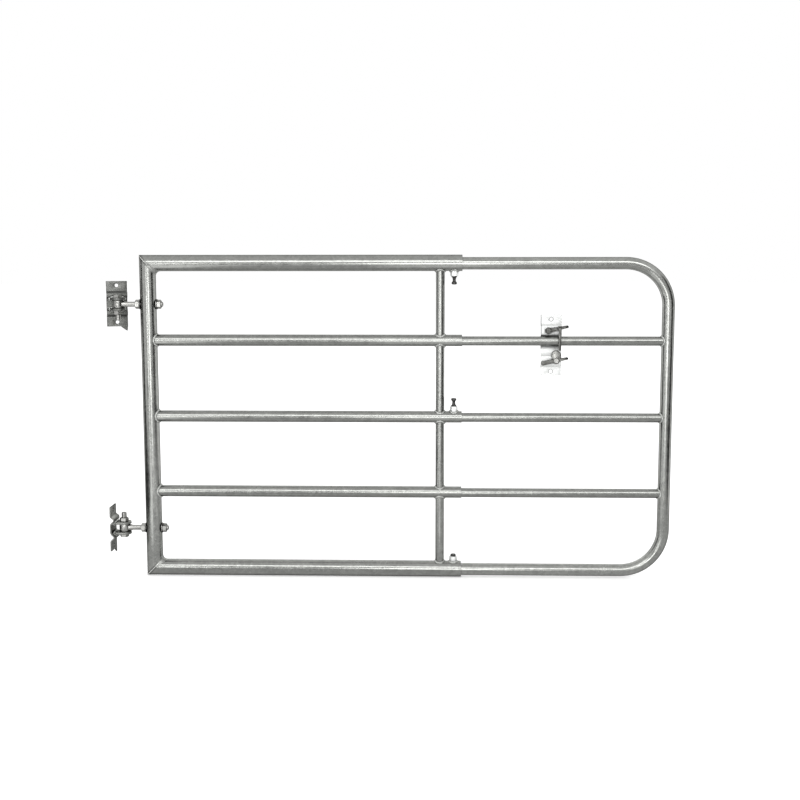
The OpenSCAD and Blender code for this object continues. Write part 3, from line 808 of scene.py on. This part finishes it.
def hex_bolt(node, axis):
    """Bolt with a chamfered hexagon head and a chamfered end."""
    bolt = Fastener(node, axis)
    low, high = bolt.span
    length = high - low
    head_low = sum(bolt.head) < low + high
    tall = bolt.head[1] - low if head_low else high - bolt.head[0]
    shank, face_r, corner = bolt.shank, bolt.face_r, bolt.corner
    bm = bmesh.new()
    lathe(bm, [(0.0, 0.0), (face_r, 0.0), (corner, bolt.drop), (corner, tall * 0.5), (corner, tall - BREAK),
               (face_r, tall), (shank, tall), (shank, length - BOLT_TIP), (shank - BOLT_TIP, length),
               (0.0, length)], closed=False)
    press_flats(bm, 0.0, tall, bolt.across, bolt.phase if head_low else -bolt.phase, ("low",))
    if head_low:
        bm.transform(Matrix.Translation((0, 0, low)))
    else:
        bm.transform(Matrix.Translation((0, 0, high)) @ Matrix.Rotation(math.pi, 4, "X"))
    bolt.place(bm)
    stand_in(node, "_turned", bm, 28)


class GATE_OT_fasteners(bpy.types.Operator):
    """Turns the bolts and nuts with chamfered faces, and rounds the eyebolts, washers and lock bosses"""

    bl_idname = "gate.fasteners"
    bl_label = "Bolts, nuts and bosses"

    def execute(self, context):
        edge = context.scene.gate_shape.edge
        for hinge in PAIR:
            softened(hinge + "_eyebolt", edge * 2.2)
            hex_bolt(hinge + "_hinge_bolt", 2)
            hex_nut(hinge + "_hinge_nut", 2)
            for side in ("inner", "outer"):
                # the washers' rounded edges take painted shade
                softened(f"{hinge}_{side}_washer", edge * 0.8, "dark_edge")
                hex_nut(f"{hinge}_{side}_nut", 0)
        for side in PAIR:
            hex_bolt(side + "_pawl_bolt", 1)
            hex_nut(side + "_pawl_nut", 1)
        for level, _, _ in LOCKS:
            # the bosses' rounded edges take grey painted shade
            softened(level + "_lock_boss", edge * 1.5, "grey_edge")
        return {"FINISHED"}


class GATE_OT_lock_screws(bpy.types.Operator):
    """Turns the lock screws: flared collar, narrow threaded neck and chamfered head"""

    bl_idname = "gate.lock_screws"
    bl_label = "Lock screws"

    def execute(self, context):
        for level, _, out in LOCKS:
            self.screw(level + "_lock_screw", level + "_lock_boss", out)
        return {"FINISHED"}

    def screw(self, node, boss, out):
        """Turns one screw; heights are taken from the boss's face, outwards."""
        lo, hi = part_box(node)
        boss_lo, boss_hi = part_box(boss)
        face = boss_hi.z if out > 0 else boss_lo.z
        end = hi.z if out > 0 else lo.z
        centre = middle(node)
        tall = abs(end - face)
        head_r, head_h = half(node).y, min(tall - 0.0004, 0.007)
        neck, under = 0.0042, tall - head_h
        screwed_out = tall > 0.012
        collar = [(0.0, 0.0002), (head_r * 0.98, 0.0002), (head_r, 0.0010), (head_r * 0.92, 0.0024)]
        shank = [(head_r * 0.66, 0.0042), (neck * 1.12, 0.0068), (neck, 0.0090),
                 (neck, under - 0.0030), (neck * 1.25, under - 0.0012)]
        head = [(head_r * 0.84, under + 0.0004), (head_r * 0.93, tall - head_h * 0.72),
                (head_r * 0.93, tall - head_h * 0.40), (head_r * 0.80, tall - head_h * 0.16),
                (head_r * 0.50, tall - 0.0003), (0.0, tall)]
        bm = bmesh.new()
        lathe(bm, collar + (shank if screwed_out else []) + head, closed=False, steps=72)
        press_flats(bm, under + 0.0003, tall, head_r * 1.66, 0.0, ())
        bmesh.ops.recalc_face_normals(bm, faces=bm.faces)
        bm.transform(turned((0, 0, out), (1, 0, 0), (centre.x, centre.y, face)))
        stand_in(node, "_turned", bm, 32)
        if screwed_out:
            at = Vector((centre.x, centre.y, face + out * 0.0078))
            thread(node, "lock_screw_steel", at, (0, 0, out), neck, under - 0.0110, 0.0015)


# ---- Welds ----

def branch_weld(bm, at, out, along, main_r, branch_r, bead, ripple, seed):
    """Bead round a tube that stands on another one; out points up the tube that
    stands, and along lies on the axis of the one it is welded to."""
    count = max(10, round(2 * math.pi * branch_r / ripple))
    part = ring(branch_r, bead, steps=count * 4)
    for v in part.verts:
        turn = math.atan2(v.co.y, v.co.x)
        centre = Vector((math.cos(turn), math.sin(turn), 0)) * branch_r
        wave = 1 + 0.16 * math.sin(count * turn) + 0.22 * wander(math.cos(turn) * 3, math.sin(turn) * 3, seed)
        v.co = centre + (v.co - centre) * wave
        v.co.z += math.sqrt(max(main_r ** 2 - (branch_r * math.sin(turn)) ** 2, 0))
        v.co.z += 0.0006 * wander(math.cos(turn) * 2, math.sin(turn) * 2, seed + 5)
    add_part(bm, part, turned(out, along, at))


def mitre_seam(bm, at, radius, up, seam, seed):
    """Ground seam round a mitred corner, ground flush at the corner's tip."""
    centre_r = radius - seam * 0.35
    part = ring(centre_r, seam, steps=180)
    for v in part.verts:
        turn = math.atan2(v.co.y, v.co.x)
        centre = Vector((math.cos(turn), math.sin(turn), 0)) * centre_r
        flush = max(0.0, -math.cos(turn)) ** 3
        grow = 1 - 0.8 * flush + 0.2 * (1 - flush) * wander(math.cos(turn) * 4, math.sin(turn) * 4, seed)
        v.co = centre + (v.co - centre) * grow
        v.co.z -= up * v.co.x
    add_part(bm, part, Matrix.Translation(at))


def corner_fillet(bm, at, radius, up, size, seed, steps=40, arc=8):
    """Hollow fillet of weld metal in the inner corner of a mitre; it thins out to both sides."""
    part = bmesh.new()
    sunk = 0.03
    bends = [k / arc * math.pi / 2 for k in range(arc + 1)]
    outline = [(-sunk, -sunk), (-sunk, 1)] + [(1 - math.cos(b), 1 - math.sin(b)) for b in bends] + [(1, -sunk)]
    corners = [part.verts.new((x, y, 0)) for x, y in outline]
    edges = [part.edges.new(pair) for pair in zip(corners, corners[1:] + corners[:1])]
    sweep_straight(part, corners + edges, 1, steps)
    reach = math.radians(78)
    for v in part.verts:
        turn = reach * (2 * v.co.z - 1)
        side = size * math.cos(turn) ** 0.8 * (1 - (turn / reach) ** 4) + 0.0003
        side *= 1 + 0.12 * wander(turn * 3, seed, 2.0)
        depth = radius * math.cos(turn)
        v.co = Vector((depth + v.co.x * side, radius * math.sin(turn), -up * (depth + v.co.y * side)))
    add_part(bm, part, Matrix.Translation(at))


def line_weld(bm, start, end, bead, ripple, seed, place=Matrix.Identity(4)):
    """Straight bead from one point to another with rounded ends."""
    part = bmesh.new()
    length = (end - start).length
    count = max(3, round(length / ripple))
    first = bmesh.ops.create_circle(part, segments=8, radius=bead)["verts"]
    sweep_straight(part, first + part.edges[:], length, count * 4)
    for v in part.verts:
        t = v.co.z / length
        round_end = math.sqrt(max(0.02, 1 - abs(2 * t - 1) ** 8))
        wave = round_end * (1 + 0.16 * math.sin(2 * math.pi * count * t) + 0.2 * wander(t * 4, seed, 1.0))
        v.co.x *= wave
        v.co.y *= wave
    direction = (end - start).normalized()
    side = Vector((0, 0, 1)) if abs(direction.z) < 0.9 else Vector((1, 0, 0))
    side = (side - direction * side.dot(direction)).normalized()
    add_part(bm, part, place @ turned(direction, side, start))


class GATE_OT_frame_welds(bpy.types.Operator):
    """Lays the weld beads, corner seams and corner fillets of the hinge-side frame"""

    bl_idname = "gate.frame_welds"
    bl_label = "Frame welds"

    def execute(self, context):
        s = context.scene.gate_shape
        materials = bpy.data.materials
        post, post_r = middle("hinge_post"), half("hinge_post").y
        bm = bmesh.new()
        for i, bar in enumerate(BARS):
            node = bar + "_sleeve_bar"
            at = Vector((post.x, 0, middle(node).z))
            branch_weld(bm, at, (1, 0, 0), (0, 0, 1), post_r, half(node).y, s.bead, s.ripple, i)
        put("bar_to_post_welds", bm, "leaf", materials["weld_zinc"], 60)

        bm = bmesh.new()
        for i in range(4):
            node = f"upright_{4 - i}"
            x, r = middle(node).x, half(node).y
            for level, out in ((i, 1), (i + 1, -1)):
                tube = LEVELS[level]
                at = Vector((x, 0, middle(tube).z))
                branch_weld(bm, at, (0, 0, out), (1, 0, 0), half(tube).y, r, s.bead, s.ripple, 10 + 2 * i + out)
        put("upright_welds", bm, "leaf", materials["weld_zinc"], 60)

        seams, fillets = bmesh.new(), bmesh.new()
        for i, (rail, up) in enumerate(CORNERS):
            at = Vector((post.x, 0, middle(rail).z))
            mitre_seam(seams, at, post_r, up, s.seam, 30 + i)
            corner_fillet(fillets, at, post_r, up, s.fillet, 34 + i)
        put("corner_seams", seams, "leaf", materials["seam_zinc"], 60)
        put("corner_fillets", fillets, "leaf", materials["fillet_zinc"], 50)

        bm = bmesh.new()
        for i, (level, tube, out) in enumerate(LOCKS):
            boss = level + "_lock_boss"
            at = Vector((middle(boss).x, 0, middle(tube).z))
            branch_weld(bm, at, (0, 0, out), (1, 0, 0), half(tube).y, half(boss).y * 1.14,
                        s.bead * 0.85, s.ripple, 40 + i)
        put("boss_welds", bm, "leaf", materials["weld_zinc"], 60)
        return {"FINISHED"}


class GATE_OT_end_frame_welds(bpy.types.Operator):
    """Lays the weld beads that join the slide bars to the end frame"""

    bl_idname = "gate.end_frame_welds"
    bl_label = "End frame welds"

    def execute(self, context):
        s = context.scene.gate_shape
        r = half("end_frame").y
        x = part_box("end_frame")[1].x - r
        bm = bmesh.new()
        for i, bar in enumerate(BARS):
            node = bar + "_slide_bar"
            at = Vector((x, 0, middle(node).z))
            branch_weld(bm, at, (-1, 0, 0), (0, 0, 1), r, half(node).y, s.bead * 0.9, s.ripple, 50 + i)
        put("slide_bar_welds", bm, "end_slide", bpy.data.materials["weld_zinc"], 60)
        return {"FINISHED"}


def upper_hinge_place():
    """Matrix from the lower hinge to the turned upper one."""
    pin = Vector(joint("upper_plate_swivel")["pos_m"])
    low_pin = Vector(joint("gate_swing")["pos_m"])
    axis = mount("upper_plate_back")["axis"]
    turn = math.atan2(-axis[1], -axis[0])
    return Matrix.Translation(pin) @ Matrix.Rotation(turn, 4, "Z") @ Matrix.Translation(-low_pin)


class GATE_OT_ear_welds(bpy.types.Operator):
    """Lays the weld beads that hold the ears in the hinge plates"""

    bl_idname = "gate.ear_welds"
    bl_label = "Ear welds"

    def execute(self, context):
        s = context.scene.gate_shape
        lo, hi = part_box("lower_hinge_ears")
        thick = hi.z - lo.z
        ear = (thick - 2 * half("lower_eyebolt").z) / 2
        half_w = (hi.y - lo.y) / 2
        back, front, flank_front = lo.x + 0.001, lo.x + 0.0078, lo.x + 0.0075
        for name, body, place in (("lower", "lower_hinge", Matrix.Identity(4)),
                                  ("upper", "upper_hinge", upper_hinge_place())):
            bm = bmesh.new()
            for i, up in enumerate((1, -1)):
                z = up * (thick / 2 + s.bead * 0.2)
                start = Vector((front, -half_w * 0.96, z))
                end = Vector((front, half_w * 0.96, z))
                line_weld(bm, start, end, s.bead * 1.1, s.ripple * 1.2, 60 + i, place)
                inside = Vector((-0.0028, 0, -up * (ear + s.bead * 0.35)))
                line_weld(bm, start + inside, end + inside, s.bead, s.ripple * 1.2, 64 + i, place)
                for side in (1, -1):
                    a = Vector((back, side * half_w, z - up * 0.0065))
                    b = Vector((flank_front, side * half_w, z))
                    line_weld(bm, a, b, s.bead * 1.1, s.ripple, 70 + i + side, place)
            put(name + "_ear_welds", bm, body, bpy.data.materials["weld_zinc"], 60)
        return {"FINISHED"}


# ---- Threads ----

def thread(node, finish, at, direction, radius, length, pitch):
    """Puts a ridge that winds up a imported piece's shank, from a point along a direction."""
    steps = bpy.context.scene.gate_shape.thread_steps
    part = bmesh.new()
    depth = pitch * 0.28
    a = part.verts.new((radius - depth, 0, 0))
    b = part.verts.new((radius + depth * 0.45, 0, pitch * 0.5))
    c = part.verts.new((radius - depth, 0, pitch))
    edges = [part.edges.new(pair) for pair in ((a, b), (b, c), (c, a))]
    turns = max(1, int(length / pitch) - 1)
    bmesh.ops.spin(
        part, geom=[a, b, c] + edges, cent=(0, 0, 0), axis=(0, 0, 1),
        dvec=(0, 0, pitch / steps), angle=2 * math.pi * turns, steps=steps * turns, use_merge=False)
    bmesh.ops.remove_doubles(part, verts=part.verts, dist=1e-7)
    bmesh.ops.holes_fill(part, edges=[e for e in part.edges if e.is_boundary], sides=3)
    bmesh.ops.recalc_face_normals(part, faces=part.faces)
    side = Vector((1, 0, 0)) if abs(direction[0]) < 0.9 else Vector((0, 1, 0))
    part.transform(turned(direction, side, at))
    put(node + "_thread", part, BODY_OF[node], bpy.data.materials[finish], 50)


class GATE_OT_threads(bpy.types.Operator):
    """Winds the threads that show on the eyebolts, hinge bolts and pawl bolts"""

    bl_idname = "gate.threads"
    bl_label = "Threads"

    def execute(self, context):
        s = context.scene.gate_shape
        for hinge in PAIR:
            self.eyebolt(hinge, s)
            self.hinge_bolt(hinge, s)
        for side in PAIR:
            self.pawl_bolt(side)
        return {"FINISHED"}

    def eyebolt(self, hinge, s):
        bolt, nut = hinge + "_eyebolt", hinge + "_outer_nut"
        nut_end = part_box(nut)[1].x
        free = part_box(bolt)[1].x - nut_end - 0.0005
        at = Vector((nut_end - THREAD_START, 0, middle(bolt).z))
        r = Fastener(nut, 0).shank - 0.0001
        thread(bolt, "hardware_zinc", at, (1, 0, 0), r, free, s.thread_pitch * 0.8)

    def hinge_bolt(self, hinge, s):
        """Thread past the nut, which may be at either end of the bolt."""
        bolt, nut = hinge + "_hinge_bolt", hinge + "_hinge_nut"
        lo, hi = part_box(bolt)
        nut_lo, nut_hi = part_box(nut)
        centre = middle(nut)
        out = 1 if nut_hi.z > middle(bolt).z else -1
        start = nut_hi.z if out > 0 else nut_lo.z
        free = (hi.z - nut_hi.z) if out > 0 else (nut_lo.z - lo.z)
        at = Vector((centre.x, centre.y, start - out * THREAD_START))
        thread(bolt, "hardware_zinc", at, (0, 0, out), Fastener(bolt, 2).shank, free, s.thread_pitch)

    def pawl_bolt(self, side):
        bolt, nut = Fastener(side + "_pawl_bolt", 1), Fastener(side + "_pawl_nut", 1)
        free = bolt.span[1] - nut.span[1]
        if free > 0.002:
            at = bolt.centre.copy()
            at.y = nut.span[1] - THREAD_START
            thread(side + "_pawl_bolt", "hardware_zinc", at, (0, 1, 0), bolt.shank, free, PAWL_BOLT_PITCH)


# ---- Stage ----

class GATE_OT_stage(bpy.types.Operator):
    """Lays the pale floor, hangs the lamps and sets up the camera"""

    bl_idname = "gate.stage"
    bl_label = "Floor, lamps and camera"

    def execute(self, context):
        s = context.scene.gate_stage
        context.scene.view_settings.view_transform = "Standard"
        self.world(context.scene, s)
        self.floor(cad_box[0].z, s)
        self.lamps(s)
        self.cards(cad_box[0].z + 0.004, s)
        self.camera(context.scene, s)
        return {"FINISHED"}

    def camera(self, scene, s):
        camera = bpy.data.objects.new("camera", bpy.data.cameras.new("camera"))
        scene.collection.objects.link(camera)
        camera.data.lens = s.lens
        camera.data.sensor_width = 36.0
        camera.data.clip_end = 60.0
        camera.location = CAMERA_PLACE
        yaw, pitch, roll = (math.radians(a) for a in CAMERA_TURN)
        turn = (Matrix.Rotation(yaw, 3, "Z") @ Matrix.Rotation(math.pi / 2 - pitch, 3, "X")
                @ Matrix.Rotation(roll, 3, "Z"))
        camera.rotation_euler = turn.to_euler()
        scene.camera = camera

    def seen(self, tree):
        """1 for the rays that show the white surroundings, 0 for the rest."""
        rays = tree.nodes.new("ShaderNodeLightPath")
        both = math_node(tree, "MAXIMUM", rays.outputs["Is Camera Ray"], rays.outputs["Is Glossy Ray"])
        return math_node(tree, "MAXIMUM", both, rays.outputs["Is Transmission Ray"])

    def world(self, scene, s):
        world = bpy.data.worlds.new("studio")
        world.use_nodes = True
        scene.world = world
        tree = world.node_tree
        back = tree.nodes["Background"]
        back.inputs["Color"].default_value = (1.0, 1.0, 1.0, 1.0)
        tree.links.new(mapped(tree, self.seen(tree), 0.0, 1.0, s.ambient, 1.0), back.inputs["Strength"])

    def glowing(self, name, bm, colour):
        """Adds a stage object with a dull white glow, and returns it with its material's tree and shader."""
        mesh = mesh_from(bm, name)
        made = bpy.data.objects.new(name, mesh)
        bpy.context.scene.collection.objects.link(made)
        material = bpy.data.materials.new(name)
        material.use_nodes = True
        mesh.materials.append(material)
        shader = material.node_tree.nodes["Principled BSDF"]
        shader.inputs["Base Color"].default_value = (*colour, 1.0)
        shader.inputs["Specular IOR Level"].default_value = 0.0
        shader.inputs["Emission Color"].default_value = (1.0, 1.0, 1.0, 1.0)
        return made, material.node_tree, shader

    def floor(self, z, s):
        bm = bmesh.new()
        bmesh.ops.create_circle(bm, cap_ends=True, segments=96, radius=30.0,
                                matrix=Matrix.Translation((0.8, 1.5, z - 0.0005)))
        _, tree, shader = self.glowing("floor", bm, s.floor_colour)
        shader.inputs["Roughness"].default_value = 1.0
        tree.links.new(mapped(tree, self.seen(tree), 0.0, 1.0, 0.0, 0.36), shader.inputs["Emission Strength"])

    def card(self, name, low, high, level):
        """Studio card between two corners that only reflections show."""
        low, high = Vector(low), Vector(high)
        flat = [i for i in range(3) if abs(high[i] - low[i]) < 1e-6][0]
        turn = {0: Matrix.Rotation(math.pi / 2, 4, "Y"), 1: Matrix.Rotation(math.pi / 2, 4, "X"),
                2: Matrix.Identity(4)}[flat]
        bm = bmesh.new()
        bmesh.ops.create_grid(bm, x_segments=1, y_segments=1, size=0.5)
        bm.transform(turn)
        size = high - low
        bm.transform(Matrix.Translation((low + high) / 2) @ Matrix.Diagonal((*[max(v, 1e-6) for v in size], 1)))
        card, _, shader = self.glowing(name, bm, (0.0, 0.0, 0.0))
        shader.inputs["Emission Strength"].default_value = level
        for ray in ("camera", "shadow", "diffuse", "transmission"):
            setattr(card, "visible_" + ray, False)

    def cards(self, low, s):
        """Dark cards beside and before the gate, and pale ones that fill its lower reflections."""
        self.card("left_card", (-4.8, -1.7, low), (-4.8, 0.9, 3.0), s.flag)
        self.card("left_floor", (-4.8, -1.4, low), (-0.5, 0.8, low), s.flag)
        self.card("right_card", (5.2, -3.6, low), (5.2, -0.2, 3.0), s.flag)
        self.card("right_floor", (2.4, -3.0, low), (5.2, -0.2, low), s.flag)
        self.card("front_floor_left", (-3.0, -5.4, low), (0.45, -2.4, low), s.flag * 3)
        self.card("front_floor_right", (1.40, -5.4, low), (4.8, -2.4, low), s.flag * 3)
        self.card("near_floor", (-0.5, -1.85, low), (2.4, 0.60, low), s.near_floor)
        self.card("front_band", (-3.0, -3.65, 0.90), (4.8, -3.65, 1.62), s.flag * 7)
        above = low + 0.002
        self.card("bounce_near", (0.72, -1.86, above), (1.10, -0.40, above), s.low_window * 0.28)
        self.card("side_bounce_near", (-0.48, -1.86, above), (0.04, -0.40, above), s.low_window * 0.40)
        self.card("bounce", (0.60, -3.4, low), (1.25, -1.86, low), s.low_window * 0.5)
        self.card("side_bounce", (-1.0, -3.4, low), (-0.5, -1.86, low), s.low_window * 0.5)

    def lamps(self, s):
        level = math.radians(90)
        tilted = level - math.radians(27)
        self.area("window", (0.75, -8.0, 4.4), (9.0, 3.2), (tilted, 0, 0), s.window)
        self.area("low_window", (0.92, -3.6, 0.35), (0.8, 0.95), (level, 0, 0), s.low_window)
        self.area("side_window", (-0.75, -3.6, 0.35), (0.5, 0.95), (level, 0, 0), s.low_window)
        self.area("back_window", (0.75, 8.0, 4.4), (9.0, 3.2), (tilted, 0, math.pi), s.back_window)

    def area(self, name, at, size, turn, level):
        """Soft rectangular lamp; its power grows with its area, so level is its brightness."""
        lamp = bpy.data.lights.new(name, "AREA")
        lamp.shape = "RECTANGLE"
        lamp.size, lamp.size_y = size
        lamp.energy = level * size[0] * size[1] * math.pi
        lamp_object = bpy.data.objects.new(name, lamp)
        lamp_object.location = at
        lamp_object.rotation_euler = turn
        lamp_object.visible_camera = False
        bpy.context.scene.collection.objects.link(lamp_object)


# ---- Sidebar ----

STEPS = (
    GATE_OT_finishes, GATE_OT_hinge_plates, GATE_OT_catch, GATE_OT_fasteners, GATE_OT_lock_screws,
    GATE_OT_frame_welds, GATE_OT_end_frame_welds, GATE_OT_ear_welds, GATE_OT_threads, GATE_OT_stage)


class GATE_PT_sidebar(bpy.types.Panel):
    """Lists the gate's settings and the steps that build its looks"""

    bl_idname = "GATE_PT_sidebar"
    bl_label = "Field gate"
    bl_space_type = "VIEW_3D"
    bl_region_type = "UI"
    bl_category = "Gate"

    def draw(self, context):
        for settings in ("gate_finish", "gate_shape", "gate_stage"):
            group = getattr(context.scene, settings)
            box = self.layout.box()
            for key in group.__annotations__:
                box.prop(group, key)
        for step in STEPS:
            self.layout.operator(step.bl_idname)


CLASSES = (GateFinishSettings, GateShapeSettings, GateStageSettings, *STEPS, GATE_PT_sidebar)


def register():
    for cls in CLASSES:
        bpy.utils.register_class(cls)
    bpy.types.Scene.gate_finish = PointerProperty(type=GateFinishSettings)
    bpy.types.Scene.gate_shape = PointerProperty(type=GateShapeSettings)
    bpy.types.Scene.gate_stage = PointerProperty(type=GateStageSettings)


def unregister():
    del bpy.types.Scene.gate_stage
    del bpy.types.Scene.gate_shape
    del bpy.types.Scene.gate_finish
    for cls in reversed(CLASSES):
        bpy.utils.unregister_class(cls)


def main():
    register()
    for step in STEPS:
        group, name = step.bl_idname.split(".")
        getattr(getattr(bpy.ops, group), name)()


if __name__ == "__main__":
    main()
